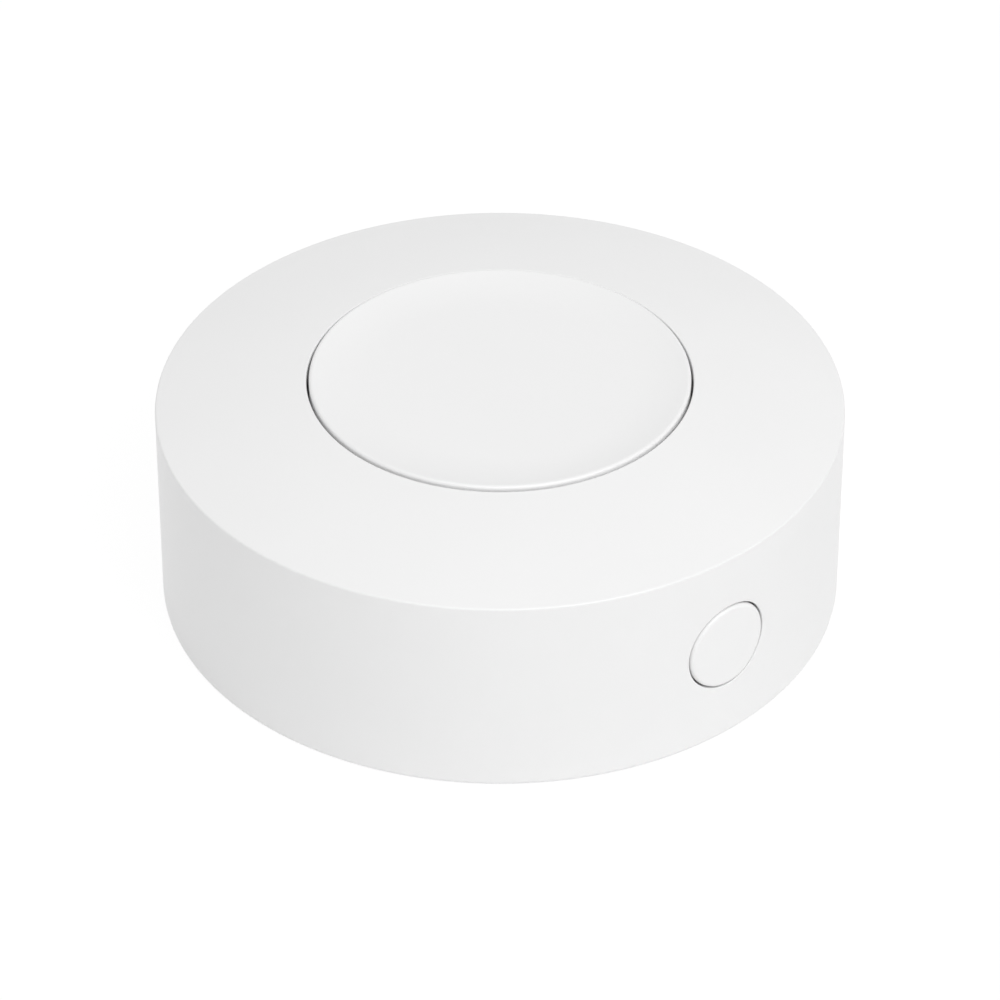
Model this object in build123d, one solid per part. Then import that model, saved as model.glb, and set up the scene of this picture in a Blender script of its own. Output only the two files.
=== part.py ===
from build123d import *
import math
import os

# Smart button: a round white puck with a large press key in its domed top and a small key in its
# side wall. Lengths are in millimetres and angles in degrees. Z is up, the puck's axis is the Z axis,
# it stands on Z = 0, and the small key faces -Y. Every piece is drawn at rest, with nothing pressed.

# Common to several pieces
overrun = 1.0  # how far a cutting tool runs past what it cuts
sheet = 0.2  # thickness of the stamped metal strips

# Housing, the white outer cup
body_diameter = 45.0
wall = 1.6
dome_radius = 101.0  # of the spherical top
shoulder_chamfer = 0.15  # where the side wall meets the dome
foot_chamfer = 0.3
opening_diameter = 25.2  # of the round opening for the main key
opening_chamfer = 0.12
collar_wall = 1.0  # of the collar that hangs from the opening and guides the main key
collar_depth = 2.4

# Screw bosses under the dome
boss_count = 3
boss_first_angle = 90.0
boss_diameter = 3.6
boss_inset = 2.0  # of the boss axis from the edge of the circuit board
boss_rib_thickness = 0.8
boss_rib_rise = 0.5  # of the rib's lower edge above the board
pilot_spare_depth = 0.5

# Main key, the dished cap in the opening
key_gap = 0.15  # running gap all round
key_proud = 0.25  # rim of the key above the dome beside it
key_dish_depth = 0.45
key_flat_diameter = 17.4  # of the level middle of the dish
key_rim_chamfer = 0.2
key_thickness = 1.4
key_skirt_wall = 1.1
key_flange_reach = 1.0  # of the flange that catches under the collar
key_flange_thickness = 0.8
key_stop_gap = 0.05
key_boss_diameter = 5.0
key_boss_length = 0.6
key_rib_count = 6
key_rib_thickness = 0.8
key_rib_depth = 0.5
key_guide_count = 3
key_guide_first_angle = 30.0
key_guide_width = 1.2  # of the pegs on the collar that keep the key from turning
key_guide_length = 1.2
key_guide_gap = 0.15
press_play = 0.05  # between a key's boss or pin and its switch

# Side key, the small round key in the side wall
side_key_diameter = 5.9
side_key_gap = 0.2
side_key_proud = 0.1  # of its face outside the wall's surface
side_key_chamfer = 0.15
side_hole_chamfer = 0.1
side_pad_diameter = 9.6  # of the flat pad on the wall's inner face, round the hole
side_pad_depth = 0.5
side_flange_width = 7.6
side_flange_height = 6.8
side_flange_fillet = 1.2
side_flange_thickness = 0.7
side_pin_diameter = 2.4
side_pin_length = 0.4
side_guide_gap = 0.15
side_guide_width = 0.7
side_guide_height = 3.0
side_guide_length = 1.0

# Base cover, the twist-off disc below the coin cell
cover_recess = 0.2  # of its outer face above the foot of the housing
cover_thickness = 1.3
cover_gap = 0.2
cover_edge_chamfer = 0.25
cover_ring_wall = 1.0
cover_ring_gap = 0.2
cover_seat_diameter = 17.0  # of the raised disc that the cell rests on
cover_seat_height = 0.25
cover_rib_count = 6
cover_rib_inset = 0.8  # from the holder to the ribs
cover_rib_thickness = 0.8
cover_rib_height = 0.9
coin_slot_length = 15.0
coin_slot_width = 2.0
coin_slot_depth = 0.7

# Bayonet between the base cover and the housing
bayonet_count = 3
bayonet_first_angle = 90.0
ledge_arc = 30.0
ledge_reach = 1.0
ledge_thickness = 0.8
ledge_gap = 0.2  # from the base cover's disc up to the ledge
lug_arc = 22.0
lug_gap = 0.1  # from the ledge up to the lug
lug_thickness = 0.8
lug_play_arc = 0.4

# Coin cell, as wide as the room inside the side switch allows
cell_height = 5.0
cell_foot_chamfer = 0.4
cell_step = 0.3  # of the cap above the can's rim
cell_cap_inset = 1.45  # from the can's side to the cap
cell_cap_depth = 0.8
cell_cap_chamfer = 0.2
cell_gasket_wall = 0.5
cell_play = 0.05

# Holder that carries the cell
holder_room = 2.25  # between the holder and the side switch
holder_wall = 0.9
holder_gap = 0.2  # round the cell
holder_lift = 0.4  # above the base cover's inner face
holder_lip_reach = 1.0
holder_lip_gap = 0.1
holder_ear_thickness = 1.0
holder_ear_width = 4.0
holder_ear_chamfer = 1.0
holder_window_width = 5.0
holder_notch_width = 8.0
holder_notch_height = 3.0

# Contacts on the cell
contact_room = 1.5  # between the cell and the circuit board
contact_touch_gap = 0.02
plus_contact_width = 3.6
plus_contact_stand_off = 0.7  # outside the holder
plus_contact_foot = 1.8
minus_contact_width = 3.2
minus_contact_slit = 0.8
minus_contact_foot = 3.5
minus_contact_reach = 8.5
minus_contact_tip = 1.6
minus_contact_tip_rise = 0.5

# Circuit board and its screws
board_thickness = 1.0
board_gap = 0.3
board_notch_gap = 0.4
screw_diameter = 1.7
screw_gap = 0.1  # in the holder and the board
screw_thread_gap = 0.02
screw_grip = 3.0  # length inside the boss
screw_head_diameter = 3.2
screw_head_height = 0.9
screw_recess_width = 0.5
screw_recess_length = 1.7
screw_recess_depth = 0.5

# Main switch, a square snap switch on top of the board
main_switch_width = 6.0
main_switch_body_height = 3.2
main_switch_cover = 0.3
main_switch_bore = 4.8  # of the cavity for the dome and the stem
main_switch_bore_depth = 1.6
main_stem_diameter = 3.5
main_stem_reach = 0.8
main_stem_flange = 4.5
main_stem_flange_thickness = 0.6
main_dome_rise = 0.55
main_terminal_width = 0.7
main_terminal_pitch = 4.5
main_terminal_height = 0.8

# Side switch, a low switch lying under the edge of the board
side_switch_width = 6.0
side_switch_height = 2.3
side_switch_body_depth = 2.75
side_switch_cover = 0.25
side_switch_bore = 1.9
side_switch_bore_depth = 1.3
side_stem_diameter = 1.3
side_stem_reach = 0.6
side_stem_flange = 1.7
side_stem_flange_thickness = 0.4
side_dome_rise = 0.4
side_terminal_width = 0.6
side_terminal_pitch = 1.6

# What both switches share
stem_gap = 0.05
stem_rest_gap = 0.03
stem_nub_share = 0.4  # of the stem's diameter
dome_crown_share = 0.3  # of the dome's radius
dome_sheet = 0.1
dome_gap = 0.1
terminal_knee = 0.5
terminal_foot = 0.7

# Radio module and small parts on the board
part_gap = 0.8
module_width = 9.0
module_length = 12.0
module_thickness = 0.8
module_shift = 1.0  # towards +Y, away from the nearest screw boss
shield_margin = 0.5
shield_length = 8.4
shield_height = 1.4
shield_sheet = 0.2
shield_chamfer = 0.3
antenna_width = 6.5
antenna_length = 1.6
antenna_height = 0.8
crystal_width = 3.2
crystal_length = 2.5
crystal_height = 0.8
crystal_lid_margin = 0.25
crystal_lid_height = 0.2
regulator_width = 1.6
regulator_length = 2.9
regulator_height = 1.1
regulator_leg_width = 0.4
regulator_leg_pitch = 0.95
regulator_leg_height = 0.5
regulator_knee = 0.25
regulator_foot = 0.35
led_width = 2.0
led_length = 1.3
led_base_height = 0.3
led_lens_diameter = 1.1
led_lens_height = 0.5
capacitor_length = 1.6
capacitor_width = 0.8
capacitor_height = 0.8
capacitor_count = 5
resistor_length = 1.6
resistor_width = 0.8
resistor_height = 0.45
resistor_count = 6
chip_pitch = 2.0
chip_row_gap = 1.2
chip_edge_chamfer = 0.1

# Radii that follow from the sizes above
body_radius = body_diameter / 2
inner_radius = body_radius - wall
opening_radius = opening_diameter / 2
collar_radius = opening_radius + collar_wall
key_radius = opening_radius - key_gap
key_flange_radius = key_radius + key_flange_reach
side_hole_diameter = side_key_diameter + 2 * side_key_gap
ledge_radius = inner_radius - ledge_reach
board_radius = ledge_radius - board_gap
boss_circle_radius = board_radius - boss_inset

# Heights that follow, stacked from the floor up to the rim of the main key
cover_top = cover_recess + cover_thickness
ledge_bottom = cover_top + ledge_gap
ledge_top = ledge_bottom + ledge_thickness
lug_bottom = ledge_top + lug_gap
lug_top = lug_bottom + lug_thickness
cell_bottom = cover_top + cover_seat_height + cell_play
cell_top = cell_bottom + cell_height
board_bottom = cell_top + contact_room
board_top = board_bottom + board_thickness
main_switch_top = board_top + main_switch_body_height + main_switch_cover
key_boss_bottom = main_switch_top + main_stem_reach + press_play
key_underside = key_boss_bottom + key_boss_length
key_face = key_underside + key_thickness
key_rim = key_face + key_dish_depth
opening_edge = key_rim - key_proud
dome_centre = opening_edge - math.sqrt(dome_radius**2 - opening_radius**2)
collar_bottom = opening_edge - collar_depth
key_flange_top = collar_bottom - key_stop_gap

# Distances of the side key's pieces from the puck's axis, from the wall inwards
side_pad_face = inner_radius - side_pad_depth
side_flange_face = side_pad_face - press_play
side_key_face = body_radius + side_key_proud
side_pin_face = side_flange_face - side_flange_thickness
side_pin_end = side_pin_face - side_pin_length
side_stem_end = side_pin_end - press_play
side_switch_face = side_stem_end - side_stem_reach
side_switch_back = side_switch_face - side_switch_cover - side_switch_body_depth
side_key_height = board_bottom - side_switch_height / 2
side_guide_offset = side_flange_width / 2 + side_guide_gap + side_guide_width / 2

# Radii of the cell and its holder, inside the side switch
holder_radius = side_switch_back - holder_room
holder_bore_radius = holder_radius - holder_wall
cell_radius = holder_bore_radius - holder_gap
cell_cap_radius = cell_radius - cell_cap_inset

# Frame whose Z runs out through the side wall, along the side key's axis, with Y up
side_axis = Plane(origin=(0, 0, side_key_height), x_dir=(1, 0, 0), z_dir=(0, -1, 0))

standing = (Align.CENTER, Align.CENTER, Align.MIN)


def dome_height(radius):
    """Height of the dome's outer surface at a distance from the axis."""
    return dome_centre + math.sqrt(dome_radius**2 - radius**2)


def ceiling_height(radius):
    """Height of the conical ceiling at a distance from the axis, a wall below the dome at its edges."""
    at_collar = dome_height(collar_radius) - wall
    at_side = dome_height(inner_radius) - wall
    share = (radius - collar_radius) / (inner_radius - collar_radius)
    return at_collar + share * (at_side - at_collar)


def ring_of(count, first_angle):
    """Turns about Z that place a number of like features at equal angles."""
    return [Rot(0, 0, first_angle + 360 * i / count) for i in range(count)]


def spin(outline, arc=360):
    """Solid turned about Z from an outline drawn with X as the radius and Y as the height."""
    return revolve(Plane.XZ * outline, Axis.Z, arc)


def sector(inner, outer, bottom, top, arc):
    """Piece of a ring, of the given arc, centred on the +X axis."""
    section = Pos((inner + outer) / 2, (bottom + top) / 2) * Rectangle(outer - inner, top - bottom)
    return Rot(0, 0, -arc / 2) * spin(section, arc)


def cut_corner(outline, point, length):
    """Outline with the corner nearest to a point chamfered."""
    return chamfer(outline.vertices().sort_by_distance(point)[0], length)


def strip(points, width, thickness=sheet):
    """Bent metal strip: a path of X and Z coordinates, as wide along Y as given."""
    section = Plane.XZ * trace(Polyline(*points), thickness)
    return extrude(section, width / 2, both=True)


def box_on(width, length, height, bottom=0):
    """Box centred on the Z axis that stands at a height."""
    return Pos(0, 0, bottom) * Box(width, length, height, align=standing)


def rod_on(diameter, height, bottom=0):
    """Cylinder on the Z axis that stands at a height."""
    return Pos(0, 0, bottom) * Cylinder(diameter / 2, height, align=standing)


def housing_shell():
    """Outer cup: side wall, domed top and the collar round the opening, turned in one piece."""
    middle = (opening_radius + body_radius) / 2
    dome_edge = (body_radius, dome_height(body_radius))
    mouth_edge = (opening_radius, opening_edge)
    outline = make_face(
        [
            ThreePointArc(dome_edge, (middle, dome_height(middle)), mouth_edge),
            Polyline(
                mouth_edge,
                (opening_radius, collar_bottom),
                (collar_radius, collar_bottom),
                (collar_radius, ceiling_height(collar_radius)),
                (inner_radius, ceiling_height(inner_radius)),
                (inner_radius, 0),
                (body_radius, 0),
                dome_edge,
            ),
        ]
    )
    outline = cut_corner(outline, (body_radius, 0), foot_chamfer)
    outline = cut_corner(outline, dome_edge, shoulder_chamfer)
    outline = cut_corner(outline, mouth_edge, opening_chamfer)
    return spin(outline)


def screw_boss():
    """Boss under the dome on the +X side, with a rib out to the wall."""
    rise = ceiling_height(boss_circle_radius) + wall / 2 - board_top
    boss = Pos(boss_circle_radius, 0, board_top) * rod_on(boss_diameter, rise)
    rib_bottom = board_top + boss_rib_rise
    rib_height = ceiling_height(inner_radius) + wall / 2 - rib_bottom
    rib_length = inner_radius + wall / 2 - boss_circle_radius
    rib = box_on(rib_length, boss_rib_thickness, rib_height, rib_bottom)
    return boss + Pos(boss_circle_radius + rib_length / 2, 0, 0) * rib


def pilot_hole():
    """Blind hole for a screw in the boss on the +X side."""
    hole = rod_on(screw_diameter + 2 * screw_thread_gap, overrun + screw_grip + pilot_spare_depth)
    return Pos(boss_circle_radius, 0, board_top - overrun) * hole


def key_guide():
    """Peg below the collar that runs in a notch of the main key's flange."""
    reach = collar_wall - key_gap
    peg = Box(reach, key_guide_width, key_guide_length + collar_wall, align=standing)
    return Pos(collar_radius - reach / 2, 0, collar_bottom - key_guide_length) * peg


def bayonet_ledge():
    """Ledge that a lug of the base cover turns over, with the stop at its locked end."""
    outer = inner_radius + wall / 2
    ledge = sector(ledge_radius, outer, ledge_bottom, ledge_top, ledge_arc)
    stop_arc = (ledge_arc - lug_arc) / 2 - lug_play_arc
    stop = sector(ledge_radius, outer, ledge_bottom, lug_top, stop_arc)
    return ledge + Rot(0, 0, (ledge_arc - stop_arc) / 2) * stop


def side_pad():
    """Flat pad on the wall's inner face, with the two ribs that guide the side key's flange."""
    pad = side_axis * Pos(0, 0, side_pad_face) * Cylinder(side_pad_diameter / 2, wall, align=standing)
    pad &= rod_on(2 * inner_radius + wall, ceiling_height(inner_radius))
    rib_bottom = side_pad_face - side_guide_length
    rib = Box(side_guide_width, side_guide_height, side_guide_length + side_pad_depth, align=standing)
    for side in (-1, 1):
        pad += side_axis * Pos(side * side_guide_offset, 0, rib_bottom) * rib
    return pad


def housing():
    """White outer cup, with everything moulded on its inside."""
    cup = housing_shell()
    for turn in ring_of(boss_count, boss_first_angle):
        cup += turn * screw_boss()
    for turn in ring_of(boss_count, boss_first_angle):
        cup -= turn * pilot_hole()
    for turn in ring_of(key_guide_count, key_guide_first_angle):
        cup += turn * key_guide()
    for turn in ring_of(bayonet_count, bayonet_first_angle):
        cup += turn * bayonet_ledge()
    cup += side_pad()
    hole_depth = body_radius + overrun - side_pad_face + side_guide_length
    hole = Cylinder(side_hole_diameter / 2, hole_depth, align=standing)
    cup -= side_axis * Pos(0, 0, side_pad_face - side_guide_length) * hole
    mouth = side_axis.from_local_coords(Vector(0, side_hole_diameter / 2, body_radius))
    return chamfer(cup.edges().sort_by_distance(mouth)[0], side_hole_chamfer)


def main_button():
    """Large key: a dished cap with a raised rim, a skirt, a retaining flange and the centre boss."""
    flat_radius = key_flat_diameter / 2
    skirt_radius = key_radius - key_skirt_wall
    flange_bottom = key_flange_top - key_flange_thickness
    outline = make_face(
        [
            Line((0, key_face), (flat_radius, key_face)),
            TangentArc((flat_radius, key_face), (key_radius, key_rim), tangent=(1, 0)),
            Polyline(
                (key_radius, key_rim),
                (key_radius, key_flange_top),
                (key_flange_radius, key_flange_top),
                (key_flange_radius, flange_bottom),
                (skirt_radius, flange_bottom),
                (skirt_radius, key_underside),
                (0, key_underside),
                (0, key_face),
            ),
        ]
    )
    outline = cut_corner(outline, (key_radius, key_rim), key_rim_chamfer)
    key = spin(outline)
    rib_length = skirt_radius + key_skirt_wall / 2
    rib = Box(rib_length, key_rib_thickness, key_rib_depth + key_thickness / 2, align=standing)
    for turn in ring_of(key_rib_count, 0):
        key += turn * Pos(rib_length / 2, 0, key_underside - key_rib_depth) * rib
    key += rod_on(key_boss_diameter, key_boss_length + key_thickness / 2, key_boss_bottom)
    notch_width = key_guide_width + 2 * key_guide_gap
    notch_start = key_radius + key_guide_gap
    notch_length = key_flange_reach + overrun
    notch = Box(notch_length, notch_width, key_flange_thickness + 2 * overrun)
    for turn in ring_of(key_guide_count, key_guide_first_angle):
        key -= turn * Pos(notch_start + notch_length / 2, 0, flange_bottom) * notch
    return key


def side_button():
    """Small key: its face follows the side wall, and a flange behind it catches on the pad."""
    stem_length = side_key_face + overrun - side_flange_face
    key = side_axis * Pos(0, 0, side_flange_face) * Cylinder(
        side_key_diameter / 2, stem_length, align=standing
    )
    key &= rod_on(2 * side_key_face, 2 * side_key_height)
    rim = side_axis.from_local_coords(Vector(0, side_key_diameter / 2, side_key_face))
    key = chamfer(key.edges().sort_by_distance(rim)[0], side_key_chamfer)
    flange = RectangleRounded(side_flange_width, side_flange_height, side_flange_fillet)
    key += side_axis * Pos(0, 0, side_pin_face) * extrude(flange, side_flange_thickness)
    pin = Cylinder(side_pin_diameter / 2, side_pin_length, align=standing)
    return key + side_axis * Pos(0, 0, side_pin_end) * pin


def base_cover():
    """Twist-off bottom disc with its bayonet ring and lugs, the cell's seat and a coin slot."""
    cover_radius = inner_radius - cover_gap
    ring_radius = ledge_radius - cover_ring_gap
    ring_bore = ring_radius - cover_ring_wall
    seat_radius = cover_seat_diameter / 2
    seat_top = cover_top + cover_seat_height
    outline = make_face(
        Polyline(
            (0, cover_recess),
            (cover_radius, cover_recess),
            (cover_radius, cover_top),
            (ring_radius, cover_top),
            (ring_radius, lug_top),
            (ring_bore, lug_top),
            (ring_bore, cover_top),
            (seat_radius, cover_top),
            (seat_radius, seat_top),
            (0, seat_top),
            (0, cover_recess),
        )
    )
    outline = cut_corner(outline, (cover_radius, cover_recess), cover_edge_chamfer)
    cover = spin(outline)
    for turn in ring_of(bayonet_count, bayonet_first_angle):
        lug_start = ring_bore + cover_ring_wall / 2
        cover += turn * sector(lug_start, cover_radius, lug_bottom, lug_top, lug_arc)
    rib_start = holder_radius + cover_rib_inset
    rib_length = ring_bore + cover_ring_wall / 2 - rib_start
    rib = box_on(rib_length, cover_rib_thickness, cover_rib_height + cover_thickness / 2)
    rib_bottom = cover_top - cover_thickness / 2
    for turn in ring_of(cover_rib_count, 0):
        cover += turn * Pos(rib_start + rib_length / 2, 0, rib_bottom) * rib
    slot = extrude(SlotOverall(coin_slot_length, coin_slot_width), coin_slot_depth + overrun)
    return cover - Pos(0, 0, cover_recess - overrun) * slot


def circuit_board():
    """Round board with its screw holes and the notch that lets the side key's flange move."""
    board = rod_on(2 * board_radius, board_thickness, board_bottom)
    notch_half = side_guide_offset + side_guide_width / 2 + board_notch_gap
    notch_depth = board_radius - side_switch_face + overrun
    notch = Box(2 * notch_half, notch_depth, board_thickness + 2 * overrun)
    board -= Pos(0, -side_switch_face - notch_depth / 2, board_bottom + board_thickness / 2) * notch
    hole = rod_on(screw_diameter + 2 * screw_gap, board_thickness + 2 * overrun)
    for turn in ring_of(boss_count, boss_first_angle):
        board -= turn * Pos(boss_circle_radius, 0, board_bottom - overrun) * hole
    return board


def board_screw():
    """Pan-head screw, pointing up, with its cross recess below."""
    head_bottom = board_bottom - holder_ear_thickness - screw_head_height
    tip = board_top + screw_grip
    screw = rod_on(screw_head_diameter, screw_head_height, head_bottom)
    screw += rod_on(screw_diameter, tip - head_bottom, head_bottom)
    recess = box_on(screw_recess_length, screw_recess_width, screw_recess_depth + overrun)
    for angle in (0, 90):
        screw -= Rot(0, 0, angle) * Pos(0, 0, head_bottom - overrun) * recess
    return screw


def board_screws():
    """The screws that hold the cell holder and the board to the housing."""
    return Compound(
        [
            turn * Pos(boss_circle_radius, 0, 0) * board_screw()
            for turn in ring_of(boss_count, boss_first_angle)
        ]
    )


def switch_body(width, length, height, bore, bore_depth):
    """Moulded switch case standing on Z = 0, open at the top for its dome and stem."""
    return box_on(width, length, height) - rod_on(bore, bore_depth + overrun, height - bore_depth)


def switch_cover(width, length, thickness, hole):
    """Metal plate on a switch case, with the hole for its stem."""
    return box_on(width, length, thickness) - rod_on(hole, thickness + 2 * overrun, -overrun)


def switch_stem(diameter, flange, flange_thickness, reach, cover, dome_top, height):
    """Stem of a switch: a nub on the dome, a flange below the cover and the part that is pressed."""
    flange_top = height - stem_rest_gap
    flange_bottom = flange_top - flange_thickness
    stem = rod_on(flange, flange_thickness, flange_bottom)
    stem += rod_on(diameter, height + cover + reach - flange_bottom, flange_bottom)
    nub_bottom = dome_top + contact_touch_gap
    return stem + rod_on(diameter * stem_nub_share, flange_bottom - nub_bottom, nub_bottom)


def snap_dome(diameter, rise, bottom):
    """Four-legged dome of thin sheet metal, standing at a height, which gives the click."""
    half_sheet = dome_sheet / 2
    foot = diameter / 2 - half_sheet
    crown = foot * dome_crown_share
    path = [
        (-foot, bottom + half_sheet),
        (-crown, bottom + rise - half_sheet),
        (crown, bottom + rise - half_sheet),
        (foot, bottom + half_sheet),
    ]
    leg_pair = strip(path, 2 * crown, dome_sheet)
    return leg_pair + Rot(0, 0, 90) * leg_pair


def bent_leg(start, height, foot_height, width, knee, foot):
    """Terminal that leaves a part's +X side, bends and ends in a foot on the board."""
    path = [
        (start, height),
        (start + knee, height),
        (start + knee, foot_height),
        (start + knee + foot, foot_height),
    ]
    return strip(path, width)


def leg_pairs(leg, places):
    """Copies of a leg on both X sides of a part, at the given places along Y."""
    return [Pos(0, y, 0) * side for side in (leg, mirror(leg, Plane.YZ)) for y in places]


def on_board(x, y, piece):
    """Piece placed on top of the circuit board."""
    return Pos(x, y, board_top) * piece


def main_switch_body():
    """Case of the switch below the main key."""
    case = switch_body(
        main_switch_width,
        main_switch_width,
        main_switch_body_height,
        main_switch_bore,
        main_switch_bore_depth,
    )
    return on_board(0, 0, case)


def main_switch_plate():
    """Metal cover of the main switch."""
    hole = main_stem_diameter + 2 * stem_gap
    plate = switch_cover(main_switch_width, main_switch_width, main_switch_cover, hole)
    return on_board(0, 0, Pos(0, 0, main_switch_body_height) * plate)


def main_switch_stem():
    """Round stem that the main key presses."""
    dome_top = main_switch_body_height - main_switch_bore_depth + main_dome_rise
    stem = switch_stem(
        main_stem_diameter,
        main_stem_flange,
        main_stem_flange_thickness,
        main_stem_reach,
        main_switch_cover,
        dome_top,
        main_switch_body_height,
    )
    return on_board(0, 0, stem)


def main_switch_dome():
    """Snap dome of the main switch."""
    floor = main_switch_body_height - main_switch_bore_depth
    return on_board(0, 0, snap_dome(main_switch_bore - 2 * dome_gap, main_dome_rise, floor))


def main_switch_terminals():
    """The four feet of the main switch."""
    leg = bent_leg(
        main_switch_width / 2,
        main_terminal_height,
        sheet / 2,
        main_terminal_width,
        terminal_knee,
        terminal_foot,
    )
    places = (-main_terminal_pitch / 2, main_terminal_pitch / 2)
    return Compound([on_board(0, 0, one) for one in leg_pairs(leg, places)])


def in_side_wall(piece):
    """Piece of the side switch, drawn with its stem along Z, placed behind the side key."""
    return side_axis * Pos(0, 0, side_switch_back) * piece


def side_switch_body():
    """Case of the switch behind the side key."""
    case = switch_body(
        side_switch_width,
        side_switch_height,
        side_switch_body_depth,
        side_switch_bore,
        side_switch_bore_depth,
    )
    return in_side_wall(case)


def side_switch_plate():
    """Metal cover of the side switch."""
    hole = side_stem_diameter + 2 * stem_gap
    plate = switch_cover(side_switch_width, side_switch_height, side_switch_cover, hole)
    return in_side_wall(Pos(0, 0, side_switch_body_depth) * plate)


def side_switch_stem():
    """Stem that the side key presses."""
    dome_top = side_switch_body_depth - side_switch_bore_depth + side_dome_rise
    stem = switch_stem(
        side_stem_diameter,
        side_stem_flange,
        side_stem_flange_thickness,
        side_stem_reach,
        side_switch_cover,
        dome_top,
        side_switch_body_depth,
    )
    return in_side_wall(stem)


def side_switch_dome():
    """Snap dome of the side switch."""
    floor = side_switch_body_depth - side_switch_bore_depth
    return in_side_wall(snap_dome(side_switch_bore - 2 * dome_gap, side_dome_rise, floor))


def side_switch_terminals():
    """Feet that hold the side switch under the board."""
    leg = bent_leg(
        side_switch_width / 2,
        side_key_height,
        board_bottom - sheet / 2,
        side_terminal_width,
        terminal_knee,
        terminal_foot,
    )
    middle = -(side_switch_face + side_switch_back) / 2
    places = (middle - side_terminal_pitch / 2, middle + side_terminal_pitch / 2)
    return Compound(leg_pairs(leg, places))


def battery_can():
    """Steel can of the coin cell, its flat side down, closed inside by the cell's filling."""
    rim_height = cell_top - cell_step
    recess_height = rim_height - cell_cap_depth
    recess_radius = cell_cap_radius + cell_gasket_wall
    outline = make_face(
        Polyline(
            (0, cell_bottom),
            (cell_radius, cell_bottom),
            (cell_radius, rim_height),
            (recess_radius, rim_height),
            (recess_radius, recess_height),
            (0, recess_height),
            (0, cell_bottom),
        )
    )
    return spin(cut_corner(outline, (cell_radius, cell_bottom), cell_foot_chamfer))


def battery_gasket():
    """Plastic ring that seals the cap in the can."""
    height = cell_cap_depth + cell_step / 2
    ring = rod_on(2 * (cell_cap_radius + cell_gasket_wall), height)
    ring -= Pos(0, 0, -overrun) * rod_on(2 * cell_cap_radius, height + 2 * overrun)
    return Pos(0, 0, cell_top - cell_step - cell_cap_depth) * ring


def battery_cap():
    """Steel cap of the coin cell, its negative pole."""
    bottom = cell_top - cell_step - cell_cap_depth
    outline = Rectangle(cell_cap_radius, cell_top - bottom, align=Align.MIN)
    return spin(cut_corner(Pos(0, bottom) * outline, (cell_cap_radius, cell_top), cell_cap_chamfer))


def battery_holder():
    """Ring round the coin cell with a lip above it and three ears under the board."""
    bottom = cover_top + holder_lift
    lip_bottom = cell_top + holder_lip_gap
    lip_radius = cell_radius - holder_lip_reach
    outline = make_face(
        Polyline(
            (holder_bore_radius, bottom),
            (holder_radius, bottom),
            (holder_radius, board_bottom),
            (lip_radius, board_bottom),
            (lip_radius, lip_bottom),
            (holder_bore_radius, lip_bottom),
            (holder_bore_radius, bottom),
        )
    )
    holder = spin(outline)
    ear_bottom = board_bottom - holder_ear_thickness
    ear_start = holder_bore_radius + holder_wall / 2
    ear_length = boss_circle_radius + holder_ear_width / 2 - ear_start
    ear = box_on(ear_length, holder_ear_width, holder_ear_thickness, ear_bottom)
    ear = chamfer(ear.edges().filter_by(Axis.Z).group_by(Axis.X)[-1], holder_ear_chamfer)
    hole = rod_on(screw_diameter + 2 * screw_gap, holder_ear_thickness + 2 * overrun)
    ear = Pos(ear_start + ear_length / 2, 0, 0) * ear
    ear -= Pos(boss_circle_radius, 0, ear_bottom - overrun) * hole
    for turn in ring_of(boss_count, boss_first_angle):
        holder += turn * ear
    cut_length = 2 * holder_wall + holder_gap + overrun
    window = Box(cut_length, holder_window_width, cell_top - bottom + overrun, align=standing)
    holder -= Pos(holder_bore_radius + holder_wall / 2, 0, bottom - overrun) * window
    notch = Box(cut_length, holder_notch_width, holder_notch_height + overrun, align=standing)
    holder -= Pos(-holder_bore_radius - holder_wall / 2, 0, bottom - overrun) * notch
    return holder


def positive_contact():
    """Spring strip from the board down beside the holder, bent in to press on the can's side."""
    strip_radius = holder_radius + plus_contact_stand_off
    touch_radius = cell_radius + contact_touch_gap + sheet / 2
    foot_height = board_bottom - sheet / 2
    middle = cell_bottom + cell_height / 2
    path = [
        (strip_radius + plus_contact_foot, foot_height),
        (strip_radius, foot_height),
        (strip_radius, cell_top),
        (touch_radius, middle),
        (holder_radius, cell_bottom + holder_lift),
    ]
    return strip(path, plus_contact_width)


def negative_contact():
    """Spring strip under the board whose two fingers press on the cell's cap."""
    foot_height = board_bottom - sheet / 2
    touch_height = cell_top + contact_touch_gap + sheet / 2
    start = -(minus_contact_foot + minus_contact_reach) / 2
    bend = start + minus_contact_foot
    touch = bend + minus_contact_reach
    path = [
        (start, foot_height),
        (bend, foot_height),
        (touch, touch_height),
        (touch + minus_contact_tip, touch_height + minus_contact_tip_rise),
    ]
    contact = strip(path, minus_contact_width)
    slit_length = minus_contact_reach + minus_contact_tip + overrun
    slit = Box(slit_length, minus_contact_slit, contact_room + 2 * overrun)
    return contact - Pos(bend + overrun + slit_length / 2, 0, (cell_top + board_bottom) / 2) * slit


# Places of the parts on the board, measured from the main switch in the middle
terminal_end = main_switch_width / 2 + terminal_knee + terminal_foot
module_x = -(terminal_end + part_gap + module_width / 2)
column_x = terminal_end + part_gap + crystal_width / 2
capacitor_x = column_x + crystal_width / 2 + chip_row_gap + capacitor_length / 2
resistor_x = capacitor_x + (capacitor_length + resistor_length) / 2 + chip_row_gap
crystal_y = crystal_length / 2 + part_gap
regulator_y = -(regulator_length / 2 + part_gap)
led_y = main_switch_width / 2 + part_gap + chip_row_gap + led_length


def radio_module_board():
    """Small board of the radio module."""
    return on_board(module_x, module_shift, box_on(module_width, module_length, module_thickness))


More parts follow.
